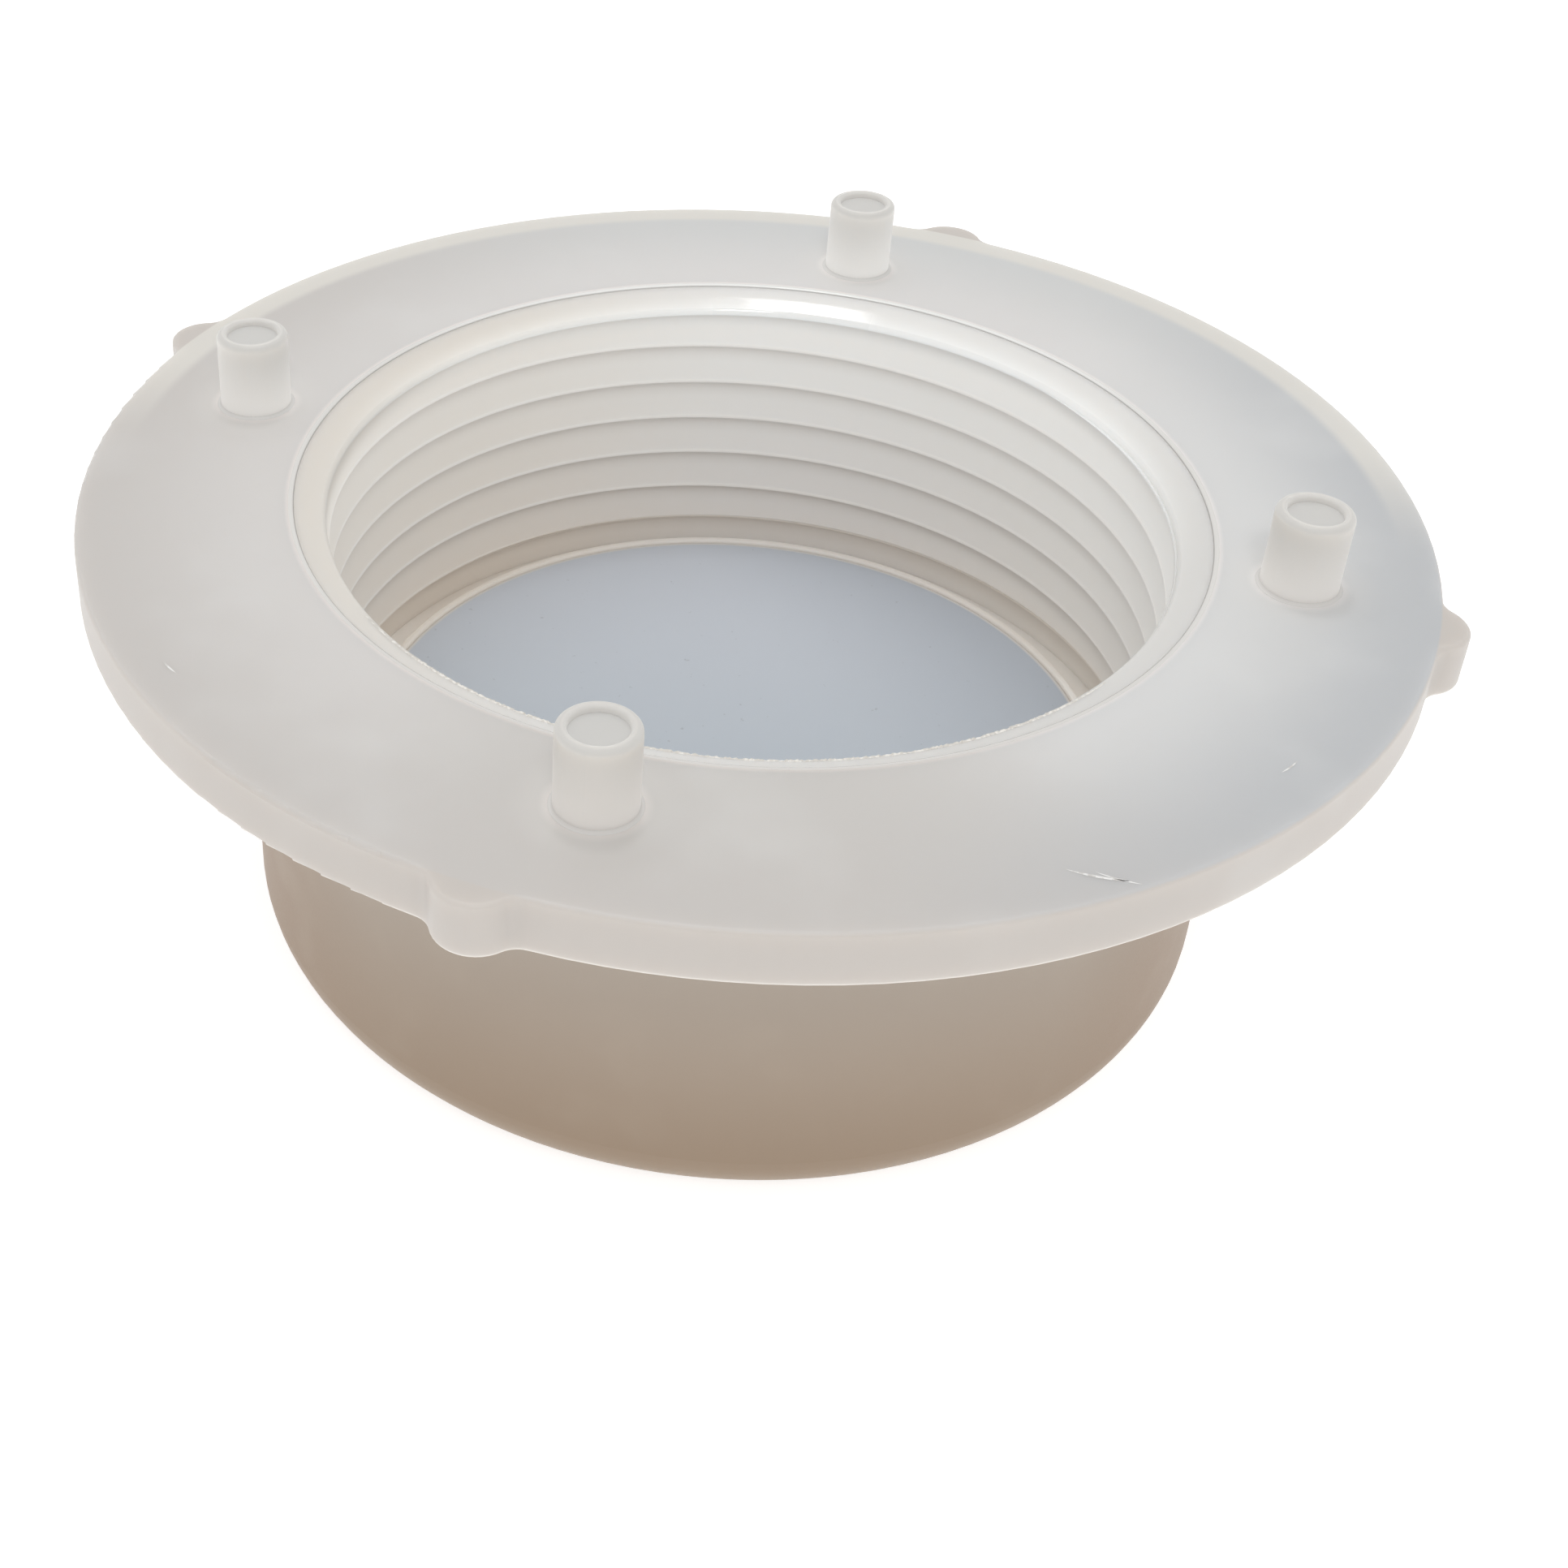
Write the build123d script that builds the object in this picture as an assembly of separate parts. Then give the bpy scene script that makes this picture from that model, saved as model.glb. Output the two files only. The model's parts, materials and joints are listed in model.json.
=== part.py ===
from build123d import *
import os

# Closet flange with a threaded bore, a closed bowl under it and four bolt posts, in millimetres.
# The bowl stands on z = 0, +Z runs up the bore's axis, and the posts stand on the X and Y axes.

# ---- driving dimensions: the bore and what surrounds it, from the inside out ----
thread_crest_diameter = 112.3
thread_pitch = 6.27
thread_depth = 1.3
thread_crest_flat = 0.45
thread_root_flat = 0.5
thread_lower_flank = 0.5      # height of the steep flank under each crest
thread_crest_drop = 3.6       # from the top face down to the topmost crest, on the X axis
sleeve_wall = 2.6             # behind the thread's root
bowl_gap = 4.65               # air between the sleeve and the bowl
bowl_wall = 3.0
tongue_taper = 1.5            # how far the tongue on the bowl's rim leans in over its height
post_setout = 3.6             # from the bowl's outside to each post's axis
rim_width = 17.6              # from each post's axis to the plate's edge

# ---- driving dimensions: heights ----
plate_thickness = 7.4
bowl_height = 57.2            # from the base up to the underside of the plate
bowl_floor = 3.2
tongue_height = 2.0           # of the bowl's tongue, which goes up into the plate's groove
disc_depth = 41.4             # from the plate's top face down to the disc's face

# ---- driving dimensions: details ----
plate_edge_round = 0.6
bowl_corner_round = 7.5

mouth_step = 0.3              # how much wider the mouth's throat is than the thread's crest
mouth_fall = 2.3              # how far the collar's top slopes down to the throat
mouth_round = 0.8             # the rounding between that slope and the throat
collar_step = 0.95            # how far the collar stands out past the sleeve's outside
collar_depth = 3.0
collar_edge_round = 0.35

relief_height = 0.6           # of the plain wall between the lip's top edge and the thread
relief_depth = 0.3            # how much deeper it is than the thread's root
disc_clearance = 4.55         # radial, from the thread's crest in to the disc's edge
disc_thickness = 3.0
disc_recess = 0.5             # from the lip's top edge down to the disc's face
seat_width = 3.5
seat_thickness = 2.5
lip_thickness = 1.2           # of the upstand round the disc
lip_edge_round = 0.4

post_count = 4
post_diameter = 9.8
post_height = 10.9
post_rim_round = 0.8
post_dish_diameter = 7.0
post_dish_depth = 0.9
post_dish_round = 0.4
post_foot_diameter = 6.8      # at the bottom of the tapered foot
socket_web = 0.9              # left between a post's socket and the bowl's groove

lug_bearings = (-2.7, 82.1, 169.8, 264.3)    # degrees from the X axis, unevenly spread
lug_round = 5.2
lug_reach = 3.4               # how far a lug stands out past the plate's edge
lug_blend = 3.0

# ---- fits ----
glue_gap = 0.1                # radial gap in the collar, seat, tongue and post joints

# ---- derived sizes ----
crest_radius = thread_crest_diameter / 2
root_radius = crest_radius + thread_depth
relief_radius = root_radius + relief_depth
throat_radius = crest_radius + mouth_step
sleeve_radius = root_radius + sleeve_wall
collar_radius = sleeve_radius + collar_step
disc_radius = crest_radius - disc_clearance
seat_bore = disc_radius + glue_gap
seat_radius = disc_radius - seat_width
bowl_radius = sleeve_radius + bowl_gap + bowl_wall
post_circle_radius = bowl_radius + post_setout
flange_radius = post_circle_radius + rim_width

underside_z = bowl_height
top_z = underside_z + plate_thickness
disc_top_z = top_z - disc_depth
disc_foot_z = disc_top_z - disc_thickness
lip_top_z = disc_top_z + disc_recess
sleeve_foot_z = disc_foot_z - seat_thickness
relief_top_z = lip_top_z + relief_height
socket_depth = plate_thickness - tongue_height - socket_web

cut_spare = 1.0                        # how far a cutting shape runs past what it cuts
blank_spare = 3 * thread_pitch         # extra length on the sleeve's blank, trimmed off


def ring(inner, outer, low, high):
    """A plain ring about the Z axis, or a disc when inner is zero."""
    body = Pos(0, 0, low) * extrude(Circle(outer), high - low)
    if inner > 0:
        body -= Pos(0, 0, low) * extrude(Circle(inner), high - low)
    return body


def turned(points):
    """A solid turned about the Z axis from (radius, height) points."""
    outline = make_face(Plane.XZ * Polyline(*points, close=True))
    return revolve(outline, Axis.Z)


def post_angles():
    """The posts' angles, evenly spread from the X axis."""
    return [360 / post_count * i for i in range(post_count)]


def plate_outline():
    """The plate's round outline with its rim lugs, blended in with hollow curves."""
    outline = Circle(flange_radius)
    lug_centre = flange_radius + lug_reach - lug_round
    for bearing in lug_bearings:
        outline += Rot(0, 0, bearing) * Pos(lug_centre, 0) * Circle(lug_round)
    crossings = [v for v in outline.vertices()
                 if abs(Vector(v.X, v.Y).length - flange_radius) < 0.01]
    return fillet(crossings, lug_blend)


def flange_plate():
    """The flat ring with its lugs, collar rebate, bowl groove and post sockets."""
    plate = Pos(0, 0, underside_z) * extrude(plate_outline(), plate_thickness)
    plate = fillet(plate.edges().group_by(Axis.Z)[-1], plate_edge_round)
    plate = fillet(plate.edges().group_by(Axis.Z)[0], plate_edge_round)
    plate -= ring(0, sleeve_radius + glue_gap, underside_z, top_z)
    plate -= ring(0, collar_radius + glue_gap, top_z - collar_depth, top_z)
    plate -= bowl_tongue(glue_gap)
    for angle in post_angles():
        plate -= Rot(0, 0, angle) * Pos(post_circle_radius, 0, 0) * post_foot(glue_gap)
    return plate


def thread_groove():
    """The right-hand helical groove, cut from under the relief up past the collar."""
    first_crest_z = top_z - thread_crest_drop
    turns = int((first_crest_z - relief_top_z) / thread_pitch) + 2
    start_z = first_crest_z - thread_pitch * (turns - 0.5)
    climb = top_z + thread_pitch - start_z      # it ends inside the blank's spare length
    path = Pos(0, 0, start_z) * Helix(thread_pitch, climb, crest_radius)

    half_width = (thread_pitch - thread_crest_flat) / 2
    upper_flank = 2 * half_width - thread_root_flat - thread_lower_flank
    overlap = thread_crest_flat / 4             # how far the cut reaches into the open bore
    upper_slope = upper_flank / thread_depth
    lower_slope = thread_lower_flank / thread_depth
    outline = make_face(Plane.XZ * Polyline(
        (crest_radius - overlap, -half_width - upper_slope * overlap),
        (root_radius, -half_width + upper_flank),
        (root_radius, half_width - thread_lower_flank),
        (crest_radius - overlap, half_width + lower_slope * overlap),
        close=True,
    ))
    return sweep(Pos(0, 0, start_z) * outline, path=path, is_frenet=True)


def relief_cut():
    """The plain groove under the thread, with a sloping top."""
    inward = relief_radius - crest_radius + cut_spare
    return turned([
        (0, relief_top_z + inward),
        (0, sleeve_foot_z - cut_spare),
        (relief_radius, sleeve_foot_z - cut_spare),
        (relief_radius, relief_top_z),
        (relief_radius - inward, relief_top_z + inward),
    ])


def disc_seat():
    """The floor ring under the disc, with an upstand that fits round the disc's edge."""
    seat = ring(seat_radius, sleeve_radius - sleeve_wall / 2, sleeve_foot_z, disc_foot_z)
    lip = ring(seat_bore, seat_bore + lip_thickness, disc_foot_z, lip_top_z)
    return seat + fillet(lip.edges().group_by(Axis.Z)[-1], lip_edge_round)


def collar():
    """The ring at the sleeve's top: it sits in the plate's rebate and slopes in to the throat."""
    foot_z = top_z - collar_depth
    band = turned([
        (throat_radius, foot_z),
        (throat_radius, top_z - mouth_fall),
        (collar_radius, top_z),
        (collar_radius, foot_z),
    ])
    band = fillet(band.edges().group_by(Axis.Z)[-1], collar_edge_round)
    throat_edge = band.edges().filter_by(
        lambda e: abs(e.center().Z - (top_z - mouth_fall)) < 0.01)
    return fillet(throat_edge, mouth_round)


def threaded_sleeve():
    """The lining of the bore: a collar, a coarse thread and a seat for the disc."""
    sleeve = ring(crest_radius, sleeve_radius, sleeve_foot_z, top_z + blank_spare)
    sleeve -= thread_groove()
    sleeve -= ring(0, sleeve_radius + cut_spare, top_z - collar_depth, top_z + 2 * blank_spare)
    sleeve -= relief_cut()
    return sleeve + disc_seat() + collar()


def blanking_disc():
    """The round plate that closes the foot of the sleeve."""
    return ring(0, disc_radius, disc_foot_z, disc_top_z)


def bowl_tongue(gap):
    """The tapered tongue on the bowl's rim or, with a gap, the groove that takes it."""
    inner = bowl_radius - bowl_wall - gap
    outer = bowl_radius + gap
    tip_z = underside_z + tongue_height
    return turned([(inner, underside_z), (outer, underside_z),
                   (outer - tongue_taper, tip_z), (inner, tip_z)])


def bowl():
    """The closed cup under the plate: rounded bottom corner, and a tongue round its rim."""
    shell = ring(0, bowl_radius, 0, underside_z)
    shell = fillet(shell.edges().group_by(Axis.Z)[0], bowl_corner_round)
    hollow = ring(0, bowl_radius - bowl_wall, bowl_floor, underside_z)
    hollow = fillet(hollow.edges().group_by(Axis.Z)[0], bowl_corner_round - bowl_wall)
    return shell - hollow + bowl_tongue(0)


def post_foot(gap):
    """A post's tapered foot on the Z axis or, with a gap, the socket that takes it."""
    heel_radius = post_foot_diameter / 2 + gap
    return turned([(0, top_z - socket_depth), (heel_radius, top_z - socket_depth),
                   (post_diameter / 2 + gap, top_z), (0, top_z)])


def post():
    """One bolt post on the Z axis: a round pin with a tapered foot and a dished top."""
    tip_z = top_z + post_height
    pin = ring(0, post_diameter / 2, top_z, tip_z)
    pin = fillet(pin.edges().group_by(Axis.Z)[-1], post_rim_round)
    pin -= ring(0, post_dish_diameter / 2, tip_z - post_dish_depth, tip_z)
    dish_edge = pin.edges().group_by(Axis.Z)[-1].sort_by(SortBy.RADIUS)[0]
    return fillet(dish_edge, post_dish_round) + post_foot(0)


def main():
    parts = {
        "flange_plate": flange_plate(),
        "threaded_sleeve": threaded_sleeve(),
        "blanking_disc": blanking_disc(),
        "bowl": bowl(),
    }
    for number, angle in enumerate(post_angles(), start=1):
        parts[f"post_{number}"] = Rot(0, 0, angle) * Pos(post_circle_radius, 0, 0) * post()
    os.makedirs("parts", exist_ok=True)
    for name, solid in parts.items():
        export_step(solid, f"parts/{name}.step")
        print(name, len(solid.solids()), "solid", round(solid.volume / 1000, 2), "cm3")
    print("flange diameter", 2 * flange_radius, "height", top_z + post_height)


main()
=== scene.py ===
# %% [markdown]
# # A frosted plastic closet flange
#
# The real part is a set of polypropylene mouldings: a flat round plate with four upright bolt
# posts, a lining with a coarse pipe thread, a blanking disc, and a closed bowl underneath.
# The solid shapes come ready made from the CAD model, so this lesson is mostly about finish:
# how light soaks into milky plastic, and the small marks that moulding and trimming leave.
#
# First comes the frame: the CAD parts are loaded and stay exactly where they are.

# %% Load the CAD frame
import bmesh
import bpy
import json
import math
import random
from mathutils import Matrix, Vector


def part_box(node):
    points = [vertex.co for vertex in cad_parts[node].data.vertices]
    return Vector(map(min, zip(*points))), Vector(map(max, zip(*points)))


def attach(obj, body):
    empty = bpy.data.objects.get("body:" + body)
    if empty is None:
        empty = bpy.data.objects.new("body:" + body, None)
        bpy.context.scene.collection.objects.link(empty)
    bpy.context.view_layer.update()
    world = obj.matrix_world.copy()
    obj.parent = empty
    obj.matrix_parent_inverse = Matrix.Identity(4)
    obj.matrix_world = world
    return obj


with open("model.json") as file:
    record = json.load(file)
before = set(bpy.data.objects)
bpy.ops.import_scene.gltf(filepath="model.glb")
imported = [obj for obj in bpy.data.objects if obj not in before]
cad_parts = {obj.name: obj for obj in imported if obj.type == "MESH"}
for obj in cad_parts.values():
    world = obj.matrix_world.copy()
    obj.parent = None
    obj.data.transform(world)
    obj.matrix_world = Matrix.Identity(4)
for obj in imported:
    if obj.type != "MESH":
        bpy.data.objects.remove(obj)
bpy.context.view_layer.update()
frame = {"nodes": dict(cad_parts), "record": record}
print("CAD nodes:", ", ".join(sorted(frame["nodes"])))

# %% [markdown]
# Most sizes are read from the CAD parts or their mounts, in metres. Working from the frame
# keeps the finish lined up with the geometry if a dimension changes later.

# %% Read the sizes that the finishes need
MM = 0.001
mounts = {mount["name"]: mount for mount in frame["record"]["mounts"]}
top_z = mounts["posts"]["pos_m"][2]
post_count = mounts["posts"]["dims"]["count"]
post_circle = mounts["posts"]["dims"]["pcd_mm"] / 2 * MM
post_radius = mounts["posts"]["dims"]["stud_r_mm"] * MM
post_tip_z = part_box("post_1")[1].z
underside_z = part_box("flange_plate")[0].z
disc_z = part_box("blanking_disc")[1].z
disc_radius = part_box("blanking_disc")[1].x
collar_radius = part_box("threaded_sleeve")[1].x
crest_radius = mounts["pipe_thread"]["dims"]["r_mm"] * MM
print("plate top", top_z, "disc face", disc_z, "collar radius", collar_radius)

# %% [markdown]
# No mount or box gives the last few sizes, so they repeat the CAD's own dimensions.

# %% Repeat the sizes that the frame does not give
throat_radius = crest_radius + 0.3 * MM
collar_foot_z = top_z - 3.0 * MM
top_crest_z = top_z - 3.6 * MM
thread_pitch = 6.27 * MM
rim_radius = 88.9 * MM
print("throat radius", throat_radius, "topmost crest", top_crest_z)

# %% [markdown]
# The camera stands in front of the flange, a forearm's length away, and looks down into the
# bore. A lens of medium length keeps the near rim only a little larger than the far one. The
# camera is aimed first and then turned a little about its own axes.

# %% Place the camera
def direction(azimuth, elevation):
    """Unit vector toward an azimuth and an elevation in degrees."""
    az, el = math.radians(azimuth), math.radians(elevation)
    return Vector((math.cos(az) * math.cos(el), math.sin(az) * math.cos(el), math.sin(el)))


def looking(location, target):
    """Rotation of a camera or lamp that looks from location to target with +Z up."""
    return (target - location).to_track_quat("-Z", "Y").to_matrix()


plate_centre = Vector((0, 0, top_z))
camera_distance = 0.31453
camera_at = plate_centre + direction(azimuth=-78.65, elevation=30.748) * camera_distance
turn = Matrix.Identity(3)
for axis, degrees in (("Y", 4.531), ("X", -5.270), ("Z", 4.055)):
    turn = turn @ Matrix.Rotation(math.radians(degrees), 3, axis)
aim = looking(camera_at, plate_centre) @ turn

camera_data = bpy.data.cameras.new("camera")
camera_data.lens = 53.695
camera_data.shift_x = 0.1501
camera_data.shift_y = -0.0600
camera_data.clip_start = 0.01
camera = bpy.data.objects.new("camera", camera_data)
camera.matrix_world = Matrix.Translation(camera_at) @ aim.to_4x4()
bpy.context.scene.collection.objects.link(camera)
bpy.context.scene.camera = camera
print("camera at", tuple(round(v, 3) for v in camera_at))

# %% [markdown]
# Milky plastic looks right in an even white surround, because most of what we see is light
# that went in on one side and came out on another. So the surround is white and one large soft
# box hangs overhead. Of the two small boxes, the one in front lights the sides that face the
# camera, and the one overhead is placed where the mouth's far lip mirrors it.

# %% Light the studio
world = bpy.data.worlds.new("white_surround")
world.use_nodes = True
surround = world.node_tree.nodes["Background"]
surround.inputs["Color"].default_value = (1.0, 1.0, 1.0, 1.0)
surround.inputs["Strength"].default_value = 0.72
bpy.context.scene.world = world
bpy.context.scene.view_settings.view_transform = "Standard"


def soft_box(name, azimuth, elevation, distance, size, power):
    """A square area lamp that faces the middle of the plate."""
    lamp = bpy.data.lights.new(name, "AREA")
    lamp.size = size
    lamp.energy = power
    box = bpy.data.objects.new(name, lamp)
    at = plate_centre + direction(azimuth, elevation) * distance
    box.matrix_world = Matrix.Translation(at) @ looking(at, plate_centre).to_4x4()
    bpy.context.scene.collection.objects.link(box)


soft_box("overhead_box", azimuth=140, elevation=72, distance=1.2, size=1.0, power=2.3)
soft_box("front_box", azimuth=-72, elevation=50, distance=1.0, size=0.2, power=1.3)
soft_box("lip_spark", azimuth=115, elevation=76, distance=1.0, size=0.12, power=0.9)

# %% [markdown]
# The next cells are the only node plumbing. `Signal` wraps one output socket, so that shader
# maths reads as arithmetic, and `Finish` owns a material and has one method that adds any node.

# %% Shader maths as plain arithmetic
class Signal:
    """One output socket of a shader node."""

    def __init__(self, finish, socket):
        self.finish = finish
        self.socket = socket

    def _math(self, operation, *values):
        return self.finish.node("Math", {"operation": operation}, dict(enumerate(values)))

    def __add__(self, other):
        return self._math("ADD", self, other)

    def __sub__(self, other):
        return self._math("SUBTRACT", self, other)

    def __rsub__(self, other):
        return self._math("SUBTRACT", other, self)

    def __mul__(self, other):
        return self._math("MULTIPLY", self, other)

    def __truediv__(self, other):
        return self._math("DIVIDE", self, other)

    def __pow__(self, other):
        return self._math("POWER", self, other)

    def __abs__(self):
        return self._math("ABSOLUTE", self)

    __radd__ = __add__
    __rmul__ = __mul__


# %% A material and its nodes
class Finish:
    """A material with one Principled shader, and one method that adds any other node."""

    def __init__(self, name):
        self.material = bpy.data.materials.new(name)
        self.material.use_nodes = True
        self.tree = self.material.node_tree
        self.shader = self.tree.nodes["Principled BSDF"]
        self.place = self.node("TexCoord", output="Object")
        self.x, self.y, self.z = (
            self.node("SeparateXYZ", {}, {0: self.place}, output=axis) for axis in "XYZ")
        self.radius = (self.x * self.x + self.y * self.y) ** 0.5

    def node(self, kind, settings=None, inputs=None, output=0):
        """Adds a node: its settings are set first, then its sockets are filled or linked."""
        node = self.tree.nodes.new("ShaderNode" + kind)
        for key, value in (settings or {}).items():
            setattr(node, key, value)
        for key, value in (inputs or {}).items():
            self.feed(node.inputs[key], value)
        return Signal(self, node.outputs[output])

    def feed(self, socket, value):
        """Links a Signal to a socket, or sets the socket's own value."""
        if isinstance(value, Signal):
            self.tree.links.new(value.socket, socket)
        else:
            socket.default_value = value

    def wire(self, **values):
        """Feeds the Principled shader: Base_Color stands for Base Color, and so on."""
        for key, value in values.items():
            self.feed(self.shader.inputs[key.replace("_", " ")], value)

    def rise(self, value, start, end):
        """0 at start, 1 at end, and a soft S-curve in between; end may be the smaller one."""
        return self.node("MapRange", {"interpolation_type": "SMOOTHSTEP"},
                         {"Value": value, "From Min": start, "From Max": end})

    def mix(self, first, second, share):
        """A colour that goes from first to second as share goes from 0 to 1.

        A Mix node has sockets of the same name for each type, so the colour ones go by number.
        """
        return self.node("Mix", {"data_type": "RGBA"}, {0: share, 6: first, 7: second}, output=2)

    def noise(self, size, detail=2.0):
        """Soft random mottling about 0.5, with blotches of the given size."""
        return self.node("TexNoise", {}, {"Vector": self.place, "Scale": 1 / size,
                                          "Detail": detail})

    def along(self, bearing):
        """Distance from the bore's axis, measured toward the bearing in degrees."""
        turn = math.radians(bearing)
        return self.x * math.cos(turn) + self.y * math.sin(turn)

    def toward(self, bearing):
        """1 on the side that faces the bearing in degrees, -1 on the far side."""
        return self.along(bearing) / self.radius

    def from_post(self):
        """Distance from the axis of the nearest bolt post; the posts stand on the two axes."""
        wide, deep = abs(self.x), abs(self.y)
        far = self.node("Math", {"operation": "MAXIMUM"}, {0: wide, 1: deep}) - post_circle
        near = self.node("Math", {"operation": "MINIMUM"}, {0: wide, 1: deep})
        return (far * far + near * near) ** 0.5

    def turn_in_thread(self):
        """0 on a thread crest, rising to 1 at the next crest above, all the way up the helix."""
        bearing = self.node("Math", {"operation": "ARCTAN2"}, {0: self.y, 1: self.x})
        climb = (self.z - top_crest_z) / thread_pitch - bearing / (2 * math.pi)
        return self.node("Math", {"operation": "FRACT"}, {0: climb})


# %% A colour from a colour picker
def tint(red, green, blue):
    """A linear colour from 0 to 255 values, by the standard sRGB curve."""
    def linear(value):
        share = value / 255
        return share / 12.92 if share <= 0.04045 else ((share + 0.055) / 1.055) ** 2.4
    return (linear(red), linear(green), linear(blue), 1.0)


# %% [markdown]
# All the mouldings are the same frosted polypropylene, so one function sets what they share.
# Light travels a few millimetres inside the plastic, which the subsurface sockets describe,
# and a very fine grain on the surface breaks up the shine. The same grain makes a plain
# roughness a little uneven.

# %% The shared look of frosted polypropylene
grain_size = 0.35 * MM
grain_in_shine = 0.1             # how much the grain changes the roughness


def frost(finish, colour, roughness=0.42, grain=0.02, soak=0.45):
    """Fills in what every frosted moulding has in common; grain is a height in millimetres."""
    finish.wire(Base_Color=colour, IOR=1.49)
    finish.wire(Subsurface_Weight=soak, Subsurface_Scale=0.004)
    finish.shader.inputs["Subsurface Radius"].default_value = (1.0, 0.92, 0.85)
    fine = finish.noise(grain_size)
    if isinstance(roughness, Signal):
        finish.wire(Roughness=roughness)
    else:
        finish.wire(Roughness=fine * grain_in_shine + (roughness - grain_in_shine / 2))
    bump = finish.node("Bump", {}, {"Strength": 0.25, "Distance": grain * MM, "Height": fine})
    finish.wire(Normal=bump)
    return finish.material


def shine_through(finish, colour):
    """Adds a weak glow, for light that has come through the plastic from behind."""
    finish.wire(Emission_Color=colour, Emission_Strength=1.0)


def dress(node_name, material):
    """Gives a CAD node its finished material."""
    mesh = frame["nodes"][node_name].data
    mesh.materials.clear()
    mesh.materials.append(material)
    print(node_name, "wears", material.name)


# %% [markdown]
# ## The plate
#
# The plate's colour carries painted light and shade: it is lighter round the bore and darker
# toward the rim, lighter at the back, darker at the front, and a little cooler on its right.
# Along the back edge a pale band is a painted highlight, where the rim's rounding gathers light.
# Round each post's foot the plate is painted lighter, and the side wall has a painted highlight
# along its foot. An image wrapped on the mesh could hold all this, but masks made from the
# radius and the bearing follow the shape by themselves and need no unwrapping.
#
# Bearings are in degrees from the X axis, seen from above. The side nearest to the camera is
# about -80, the far side 100, the right 5 and the left 185.

# %% Plate colour
plate = Finish("frosted_plate")
# Painted light and shade: darker toward the rim, lighter at the back, cooler on the right, darker at
# the front.
outer_margin = plate.rise(plate.radius, collar_radius + 1.0 * MM, rim_radius - 0.9 * MM)
right_side = plate.rise(plate.toward(-2), 0.35, 0.95)
back_side = plate.rise(plate.toward(76), 0.1, 0.95)
front_side = plate.rise(plate.toward(-80), 0.75, 1.0)
inner_tone = plate.mix(tint(210, 207, 204), tint(216, 214, 212), back_side)
inner_tone = plate.mix(inner_tone, tint(214, 214, 213), right_side)
inner_tone = plate.mix(inner_tone, tint(200, 197, 193), front_side)
outer_tone = plate.mix(tint(198, 194, 190), tint(203, 204, 203), back_side)
outer_tone = plate.mix(outer_tone, tint(188, 190, 192), right_side)
colour = plate.mix(inner_tone, outer_tone, outer_margin)
# A painted highlight along the back of the rim.
rim_highlight = plate.rise(plate.radius, rim_radius - 5.3 * MM, rim_radius - 3.5 * MM)
band_side = plate.rise(plate.toward(100), -0.05, 0.3)
colour = plate.mix(colour, tint(219, 216, 209), rim_highlight * band_side * 0.85)
# Painted light on the plate round each post's foot.
light_round_posts = plate.rise(plate.from_post(), post_radius + 6 * MM, post_radius)
colour = plate.mix(colour, tint(222, 220, 216), light_round_posts * 0.3)
# The side wall has its own warmer tone, and a painted highlight along its foot.
wall = plate.rise(plate.radius, rim_radius - 0.4 * MM, rim_radius - 0.05 * MM)
colour = plate.mix(colour, tint(199, 193, 187), wall)
foot_highlight = plate.rise(plate.z, underside_z + 0.7 * MM, underside_z + 0.2 * MM)
colour = plate.mix(colour, tint(226, 220, 212), wall * foot_highlight)
mottle = plate.noise(20 * MM) - 0.5
colour = plate.mix(colour, tint(224, 224, 222), plate.rise(mottle, 0.0, 0.35) * 0.22)

# %% [markdown]
# The plate's holes cut the light that travels inside it, so the plastic beside the collar and
# the posts would turn dark. On the real part the joints are filled and light crosses them. A
# weak glow that fades out within two millimetres stands for that light.

# %% Plate glow and finish
no_light = (0.0, 0.0, 0.0, 1.0)
collar_light = (0.16, 0.135, 0.12, 1.0)
foot_light = (0.12, 0.105, 0.1, 1.0)
collar_side = plate.rise(plate.radius, collar_radius + 1.0 * MM, collar_radius + 0.2 * MM)
foot_side = plate.rise(plate.from_post(), post_radius + 1.8 * MM, post_radius)
lift = plate.mix(no_light, collar_light, collar_side)
lift = plate.mix(lift, foot_light, foot_side)
shine_through(plate, lift)
dress("flange_plate", frost(plate, colour))

# %% [markdown]
# ## The lining of the bore
#
# The lining is the wall that a pipe screws into. Its colour is painted darker toward the disc
# and tinted by side, as painted shade. Each turn of the thread has a painted highlight on its
# crest and painted shade below the next crest up. Rings of colour would cut across the turns,
# so the painted shading takes its place in the turn from the height and the bearing, and
# follows the helix.

# %% Lining colour
lining = Finish("frosted_lining")
# Painted shade: darker toward the disc, warmer on the left and darker on the near right.
depth = lining.rise(lining.z, top_z - 4 * MM, disc_z)
left_side = lining.rise(lining.toward(185), 0.1, 0.95)
right_side = lining.rise(lining.toward(5), 0.1, 0.95)
near_right = lining.rise(lining.toward(-20), 0.4, 1.0)
upper_tone = lining.mix(tint(222, 221, 218), tint(217, 212, 204), left_side)
upper_tone = lining.mix(upper_tone, tint(212, 211, 208), near_right)
lower_tone = lining.mix(tint(212, 209, 206), tint(215, 207, 197), left_side)
lower_tone = lining.mix(lower_tone, tint(216, 212, 206), right_side)
colour = lining.mix(upper_tone, lower_tone, depth)
phase = lining.turn_in_thread()
in_thread = lining.rise(lining.z, collar_foot_z, collar_foot_z - 0.5 * MM)
# Painted shade under each crest, and a painted highlight on each crest.
shade_under_crest = lining.rise(phase, 0.45, 0.93)
colour = lining.mix(colour, tint(184, 176, 168), shade_under_crest * in_thread * 0.45)
crest_highlight = lining.rise(abs(phase - 0.5), 0.44, 0.475)
colour = lining.mix(colour, tint(232, 228, 222), crest_highlight * in_thread * 0.7)

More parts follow.
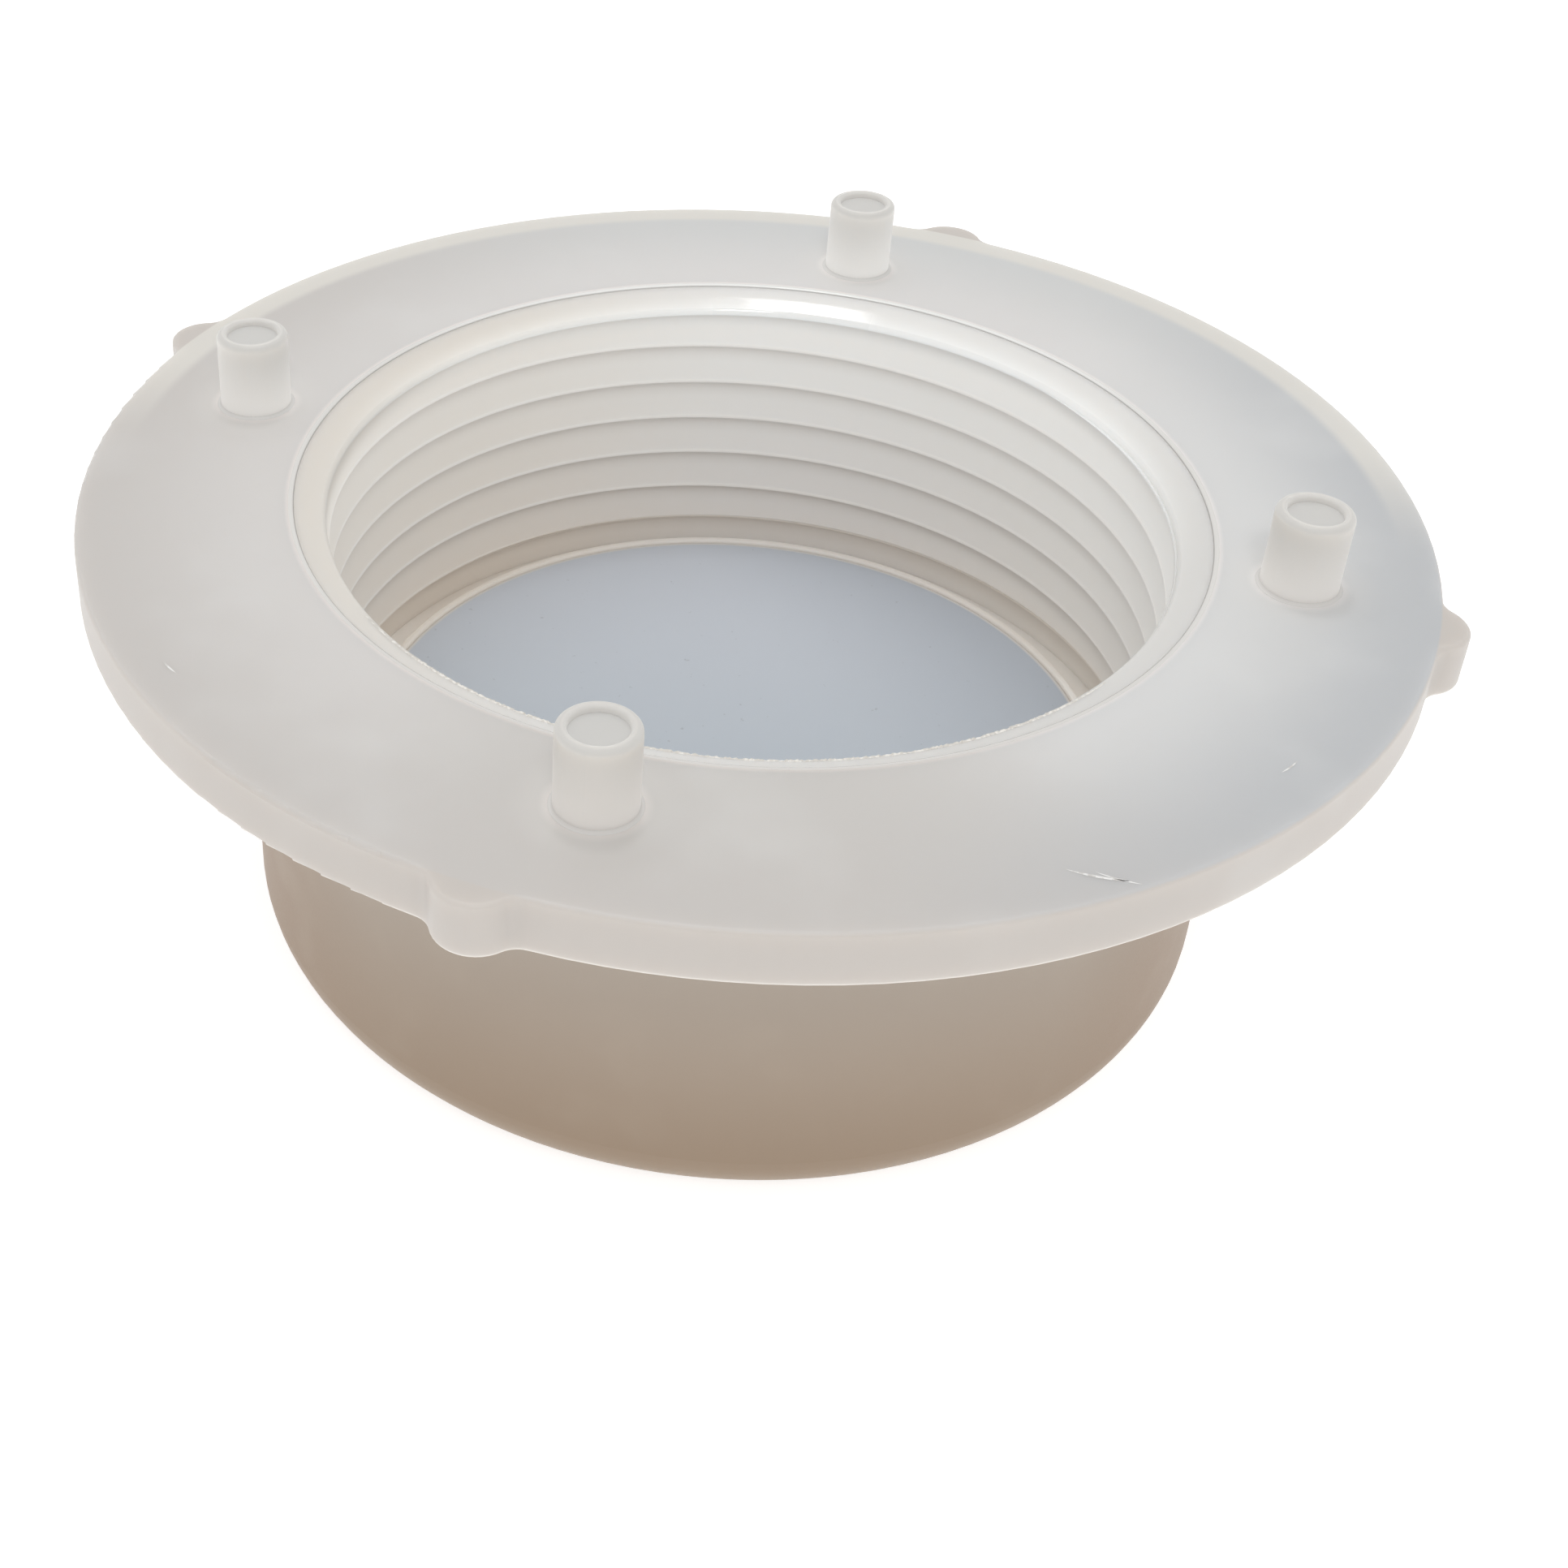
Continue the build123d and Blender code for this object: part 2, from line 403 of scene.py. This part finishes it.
# %% [markdown]
# Light soaks through this wall from outside, so it stays pale far down, and a weak glow stands
# for that light. It fades toward the disc, and in the mouth it is weaker on the side nearest to
# the camera. The collar's top is out in the open and needs almost none.

# %% Lining glow
deep_light = (0.085, 0.078, 0.07, 1.0)
thread_light = (0.26, 0.26, 0.255, 1.0)
far_mouth_light = (0.18, 0.19, 0.195, 1.0)
near_mouth_light = (0.04, 0.039, 0.037, 1.0)
open_light = (0.03, 0.03, 0.03, 1.0)
nearness = lining.node("MapRange", {}, {"Value": lining.z, "From Min": disc_z, "From Max": top_z})
soaked = lining.mix(deep_light, thread_light, nearness ** 1.45)
near_mouth = lining.rise(lining.z, top_z - 6 * MM, top_z - 3.5 * MM)
near_side = lining.rise(lining.toward(95), 0.7, -0.2)
mouth_glow = lining.mix(far_mouth_light, near_mouth_light, near_side)
soaked = lining.mix(soaked, mouth_glow, near_mouth)
under_top = lining.rise(lining.z, top_z - 0.8 * MM, collar_foot_z)
soaked = lining.mix(open_light, soaked, under_top)
shine_through(lining, soaked)

# %% [markdown]
# The highlight on the mouth's far lip is short and bright. A wide glossy band would stretch it
# along the lip, so a mask of height, radius and bearing makes only one short piece smoother.

# %% Lining polish and finish
dull = 0.42
polish = lining.rise(lining.z, collar_foot_z - 1.0 * MM, collar_foot_z)
polish = polish * lining.rise(lining.radius, crest_radius + 3.0 * MM, crest_radius + 2.2 * MM)
polish = polish * lining.rise(lining.toward(97), 0.965, 0.99)
shine = dull - polish * 0.3
dress("threaded_sleeve", frost(lining, colour, roughness=shine, grain=0.008, soak=0.8))

# %% [markdown]
# ## The blanking disc
#
# The disc lies deep in the bore and looks cool and blue beside the warm wall. Its colour is
# painted darker toward the camera and at the back right, as painted shade; it carries a few dark
# specks, and it has a pale line round its edge, where it meets the lip of its seat.

# %% Disc finish
blank = Finish("frosted_disc")
# Painted shade toward the camera and at the back right.
front_shade = blank.rise(blank.along(-80), -48 * MM, 48 * MM)
colour = blank.mix(tint(192, 197, 205), tint(173, 183, 191), front_shade)
right_back_shade = blank.rise(blank.along(40), 12 * MM, 52 * MM)
colour = blank.mix(colour, tint(164, 171, 180), right_back_shade * 0.6)
speck = blank.rise(blank.noise(1.2 * MM), 0.72, 0.78)
colour = blank.mix(colour, tint(150, 154, 160), speck * 0.45)
edge_line = blank.rise(blank.radius, disc_radius - 0.6 * MM, disc_radius - 0.2 * MM)
colour = blank.mix(colour, tint(214, 210, 204), edge_line * 0.8)
dress("blanking_disc", frost(blank, colour, soak=0.3))

# %% [markdown]
# ## The bowl
#
# The bowl hangs under the plate, where little light reaches it. Its warm tan is partly the
# plastic's own and partly painted shade, deepening toward the base and round its two flanks,
# with faint clouds in the plastic.

# %% Bowl finish
cup = Finish("frosted_bowl")
# Painted shade: darker toward the base and on both flanks.
height = cup.rise(cup.z, 0.0, underside_z)
colour = cup.mix(tint(151, 130, 108), tint(180, 170, 159), height)
flank_shade = cup.rise(abs(cup.toward(12)), 0.6, 0.97)
colour = cup.mix(colour, tint(147, 120, 94), flank_shade * 0.7)
cloud = cup.noise(14 * MM) - 0.5
colour = cup.mix(colour, tint(182, 168, 152), cup.rise(cloud, 0.0, 0.4) * 0.25)
dress("bowl", frost(cup, colour, soak=0.3))

# %% [markdown]
# ## The bolt posts
#
# The posts stand out on their own, so light passes right through them. Along the shaft the
# glow is strongest at the foot, where light comes up out of the plate, and it is stronger on
# the far posts. A real post's top shows almost no light and shade, because the plastic evens
# them out, so the brim and the dish have a darker colour and a stronger glow.

# %% Post colour
peg = Finish("frosted_post")
# Painted light and shade: the shafts are darker toward the tip and lighter on the far posts.
up_post = peg.rise(peg.z, top_z, post_tip_z)
far_side = peg.rise(peg.along(100), -45 * MM, 45 * MM)
colour = peg.mix(tint(202, 199, 195), tint(194, 191, 186), up_post)
colour = peg.mix(colour, tint(206, 205, 202), far_side * 0.7)
dished = peg.rise(peg.from_post(), post_radius - 0.6 * MM, post_radius - 1.1 * MM)
dished = dished * peg.rise(peg.z, post_tip_z - 1.5 * MM, post_tip_z - 1.1 * MM)
colour = peg.mix(colour, tint(142, 141, 138), dished)
brim = peg.rise(peg.z, post_tip_z - 1.0 * MM, post_tip_z - 0.2 * MM) * (1 - dished)
colour = peg.mix(colour, tint(148, 147, 144), brim)

# %% Post glow and finish
near_foot_light = (0.21, 0.2, 0.19, 1.0)
near_tip_light = (0.11, 0.106, 0.1, 1.0)
far_foot_light = (0.29, 0.287, 0.28, 1.0)
far_tip_light = (0.16, 0.159, 0.155, 1.0)
brim_light = (0.28, 0.277, 0.268, 1.0)
dish_light = (0.33, 0.325, 0.315, 1.0)
near_glow = peg.mix(near_foot_light, near_tip_light, up_post)
far_glow = peg.mix(far_foot_light, far_tip_light, up_post)
through = peg.mix(near_glow, far_glow, far_side)
through = peg.mix(through, brim_light, brim)
through = peg.mix(through, dish_light, dished)
shine_through(peg, through)
frost(peg, colour, roughness=0.5, soak=0.9)
for number in range(1, post_count + 1):
    dress(f"post_{number}", peg.material)

# %% [markdown]
# ## The small things that hold and mark the parts
#
# These pieces are too thin to matter in the CAD, and they are what makes the join lines look
# moulded: a bead of weld round the collar, a soft fillet at each post's foot, the ragged flash
# left on the mouth's near edge and a few scratches. Each one is a closed mesh. All but the
# scratches are made by turning a small outline of (radius, height) points about an upright axis.
#
# Only the sides of the outline that show are shaded smooth. If its hidden underside were smooth
# too, it would drag the shading of the edges down with it and draw a dark line round the piece.

# %% Turn an outline into a closed mesh
def turned_piece(name, outline, centre=(0.0, 0.0), start=0.0, end=360.0, step=1.0, smooth=0):
    """Turns the (radius, height) points that outline(bearing) gives about an upright axis.

    The outline's first sides, as many as smooth says, are shaded smooth.
    """
    whole = abs(end - start) >= 360
    count = round((end - start) / step)
    bearings = [start + (end - start) * i / count for i in range(count if whole else count + 1)]
    corners, faces = [], []
    for bearing in bearings:
        turn = math.radians(bearing)
        corners += [(centre[0] + r * math.cos(turn), centre[1] + r * math.sin(turn), z)
                    for r, z in outline(bearing)]
    size = len(outline(start))
    rings = len(bearings)
    for i in range(rings if whole else rings - 1):
        here, there = i * size, (i + 1) % rings * size
        for j in range(size):
            k = (j + 1) % size
            faces.append((here + j, there + j, there + k, here + k))
    if not whole:
        faces += [tuple(range(size)), tuple(reversed(range((rings - 1) * size, rings * size)))]
    mesh = bpy.data.meshes.new(name)
    mesh.from_pydata(corners, [], faces)
    mesh.polygons.foreach_set("use_smooth", [i % size < smooth for i in range(len(faces))])
    return mesh


# %% Put a piece in the scene
def add_piece(name, mesh, material):
    """Turns the mesh's faces outward, puts it in the scene and says what carries it."""
    shell = bmesh.new()
    shell.from_mesh(mesh)
    bmesh.ops.recalc_face_normals(shell, faces=shell.faces)
    shell.to_mesh(mesh)
    shell.free()
    mesh.materials.append(material)
    piece = bpy.data.objects.new(name, mesh)
    bpy.context.scene.collection.objects.link(piece)
    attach(piece, "root")
    print(name, len(mesh.polygons), "faces")


# %% [markdown]
# The bead covers the gap between the collar and the plate. Its outline is a low hump that
# starts on the collar's rounded edge and ends on the plate, with its underside hidden between
# them. It has no subsurface light: a thin piece that overlaps solid ones would turn grey.

# %% The bead of weld round the collar
weld = Finish("weld_bead")
# A painted highlight makes the bead lighter toward the back; painted shade makes it darker toward
# the front.
colour = weld.mix(tint(212, 210, 206), tint(226, 226, 223), weld.rise(weld.toward(97), 0.3, 0.9))
colour = weld.mix(colour, tint(207, 204, 200), weld.rise(weld.toward(-78), 0.3, 0.8))
shine_through(weld, (0.05, 0.05, 0.05, 1.0))
frost(weld, colour, roughness=0.18, grain=0.002, soak=0.0)
bead_hump = [(-0.4, -0.21), (-0.2, -0.07), (0.0, 0.006), (0.15, 0.014), (0.28, 0.004), (0.36, -0.02)]
bead_points = bead_hump + [(0.2, -0.15)]
bead = [(collar_radius + r * MM, top_z + z * MM) for r, z in bead_points]
mesh = turned_piece("collar_weld", lambda bearing: bead, smooth=len(bead_hump) - 1)
add_piece("collar_weld", mesh, weld.material)

# %% [markdown]
# The fillet is a quarter of a circle, hollow side out, between the plate's top and the post.
# The rest of its outline is hidden inside them, so that no gap can show. One outline serves
# all four posts, turned about each post's own axis.

# %% The fillets at the posts' feet
heel = Finish("foot_fillet")
spread = heel.rise(heel.from_post(), post_radius + 0.05 * MM, post_radius + 0.45 * MM)
colour = heel.mix(tint(204, 201, 197), tint(206, 204, 201), spread)
# Painted light: lighter on the far posts, as on the posts themselves.
far_side = heel.rise(heel.along(100), -45 * MM, 45 * MM)
colour = heel.mix(colour, tint(212, 211, 208), far_side * 0.7)
shine_through(heel, (0.05, 0.048, 0.046, 1.0))
frost(heel, colour, roughness=0.5, soak=0.0)

sweep_size = 0.5
bends = [math.radians(degrees) for degrees in range(0, 91, 15)]
heel_curve = [(sweep_size * (1 - math.sin(bend)), sweep_size * (1 - math.cos(bend)))
              for bend in bends]
inside_post = post_radius - 0.3 * MM
under_top = top_z - 0.15 * MM
heel_outline = [(post_radius + (r - 0.02) * MM, top_z + (z + 0.008) * MM) for r, z in heel_curve]
heel_outline += [(inside_post, top_z + sweep_size * MM), (inside_post, under_top),
                 (post_radius + sweep_size * MM, under_top)]
for number in range(post_count):
    turn = math.radians(360 / post_count * number)
    name = f"post_foot_{number + 1}"
    where = (post_circle * math.cos(turn), post_circle * math.sin(turn))
    mesh = turned_piece(name, lambda bearing: heel_outline, centre=where, step=7.5,
                        smooth=len(heel_curve) - 1)
    add_piece(name, mesh, heel.material)

# %% [markdown]
# Trimming the mouth leaves a torn lip of plastic on the edge nearest to the camera. A bump
# texture can't break up an outline, so the lip is real mesh: its height jumps at random from
# one quarter of a degree to the next, and both of its ends fade away.

# %% The flash on the mouth's near edge
flash = Finish("trim_flash")
torn = flash.rise(flash.noise(0.5 * MM, detail=3.0), 0.45, 0.6)
colour = flash.mix(tint(214, 210, 203), tint(236, 233, 227), torn)
frost(flash, colour, roughness=0.6, soak=0.0)
flash_start, flash_end = -132, -28
fade_turn = 12
least_share = 0.02
tear_heights = (0.06, 0.12, 0.16, 0.2, 0.24, 0.3)
random.seed(7)
tears = {}


def flash_outline(bearing):
    """A thin torn lip: its height changes from one step of the turn to the next."""
    if bearing not in tears:
        ends = min(1.0, (bearing - flash_start) / fade_turn, (flash_end - bearing) / fade_turn)
        tears[bearing] = max(least_share, ends) * random.choice(tear_heights)
    tear = tears[bearing] * MM
    edge = throat_radius + 0.75 * MM
    low = top_z - 1.95 * MM
    return [(edge + 0.35 * MM, low + 0.16 * MM), (edge + 0.02 * MM, low + 0.06 * MM + tear),
            (edge - 0.25 * MM - tear * 0.3, low - 0.12 * MM + tear * 0.6),
            (edge - 0.3 * MM, low - 0.3 * MM), (edge + 0.1 * MM, low - 0.35 * MM)]


mesh = turned_piece("mouth_flash", flash_outline, start=flash_start, end=flash_end, step=0.25)
add_piece("mouth_flash", mesh, flash.material)

# %% [markdown]
# Handling has scuffed the plate in a few places near its rim. Each scratch is a sliver that
# stands a hair's breadth above the plate, bowed a little, with tapered ends. Noise breaks up
# its white with the plate's own tone.

# %% Scratches on the plate
stroke_steps = 12
stroke_bow = 0.04                # sideways, as a share of the length
stroke_tip = 0.05                # width at the ends, as a share of the middle's
stroke_depth = 0.02 * MM
stroke_height = 0.012 * MM


def scratch(name, bearing, radius, length, width, heading):
    """A hair-thin raised stroke on the plate's top, at a bearing and radius."""
    turn = math.radians(bearing)
    middle = Vector((radius * math.cos(turn), radius * math.sin(turn)))
    way = Vector((math.cos(math.radians(heading)), math.sin(math.radians(heading))))
    side = Vector((-way.y, way.x))
    corners, faces = [], []
    for i in range(stroke_steps + 1):
        share = i / stroke_steps * 2 - 1
        spine = middle + way * (share * length / 2) + side * (share * share * length * stroke_bow)
        reach = side * (width / 2 * max(stroke_tip, 1 - share * share))
        for point in (spine - reach, spine + reach):
            corners += [(point.x, point.y, top_z - stroke_depth),
                        (point.x, point.y, top_z + stroke_height)]
    for i in range(stroke_steps):
        a, b = i * 4, i * 4 + 4
        faces += [(a + 1, a + 3, b + 3, b + 1), (a, b, b + 2, a + 2),
                  (a, a + 1, b + 1, b), (a + 2, b + 2, b + 3, a + 3)]
    last = stroke_steps * 4
    faces += [(0, 2, 3, 1), (last, last + 1, last + 3, last + 2)]
    mesh = bpy.data.meshes.new(name)
    mesh.from_pydata(corners, [], faces)
    return mesh


scuff = Finish("scratch_white")
broken = scuff.rise(scuff.noise(0.8 * MM), 0.4, 0.55)
frost(scuff, scuff.mix(tint(206, 203, 199), tint(236, 235, 233), broken), roughness=0.7, soak=0.0)
scratches = (                    # bearing, radius, length, width and heading
    (-50.6, 85.2, 7.0, 0.35, 2.0),
    (-49.4, 86.3, 5.0, 0.25, 355.0),
    (-131.4, 83.7, 3.0, 0.25, 325.0),
    (-28.6, 82.5, 3.2, 0.2, 60.0),
)
for number, (bearing, radius, length, width, heading) in enumerate(scratches, start=1):
    name = f"scratch_{number}"
    mesh = scratch(name, bearing, radius * MM, length * MM, width * MM, heading)
    add_piece(name, mesh, scuff.material)

# %% [markdown]
# ## The table
#
# The flange stands on a white shooting table that is lit a little from below, so its shadow
# stays faint.

# %% Table
table_finish = Finish("white_table")
table_finish.wire(Base_Color=(0.5, 0.5, 0.5, 1.0), Roughness=0.9,
                  Emission_Color=(1.0, 1.0, 1.0, 1.0), Emission_Strength=0.75)
half = 3.0
table_mesh = bpy.data.meshes.new("table")
table_mesh.from_pydata([(-half, -half, 0), (half, -half, 0), (half, half, 0), (-half, half, 0)],
                       [], [(0, 1, 2, 3)])
table_mesh.materials.append(table_finish.material)
table = bpy.data.objects.new("table", table_mesh)
bpy.context.scene.collection.objects.link(table)
